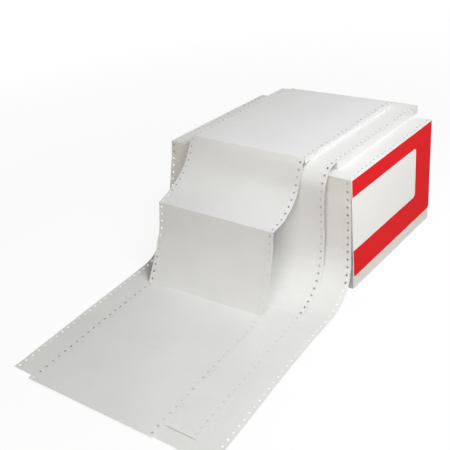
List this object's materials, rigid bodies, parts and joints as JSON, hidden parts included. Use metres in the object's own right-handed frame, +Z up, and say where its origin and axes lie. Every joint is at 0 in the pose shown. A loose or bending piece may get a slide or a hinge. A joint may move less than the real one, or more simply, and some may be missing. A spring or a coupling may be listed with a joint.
{
  "type": "fanfold continuous form paper",
  "caption": "Pile of fanfold continuous form paper with tractor holes, loose forms pulled over its front on to the table, and a red printed card on one side.",
  "frame": {"origin": "middle of the underside of the widest folded pack, on the table", "axes": "+Z up, the loose forms run towards -Y, the card is on the +X side"},
  "size_m": [0.4205, 0.7414, 0.2212],
  "materials": {
    "wide_paper": "matt uncoated white listing paper",
    "medium_paper": "matt uncoated white listing paper",
    "narrow_paper": "matt uncoated white listing paper",
    "card_print": "white card printed red, satin"
  },
  "bodies": {
    "root": {"wide_forms": "wide_paper", "medium_forms": "medium_paper", "narrow_forms": "narrow_paper", "side_card": "card_print"}
  },
  "joints": []
}
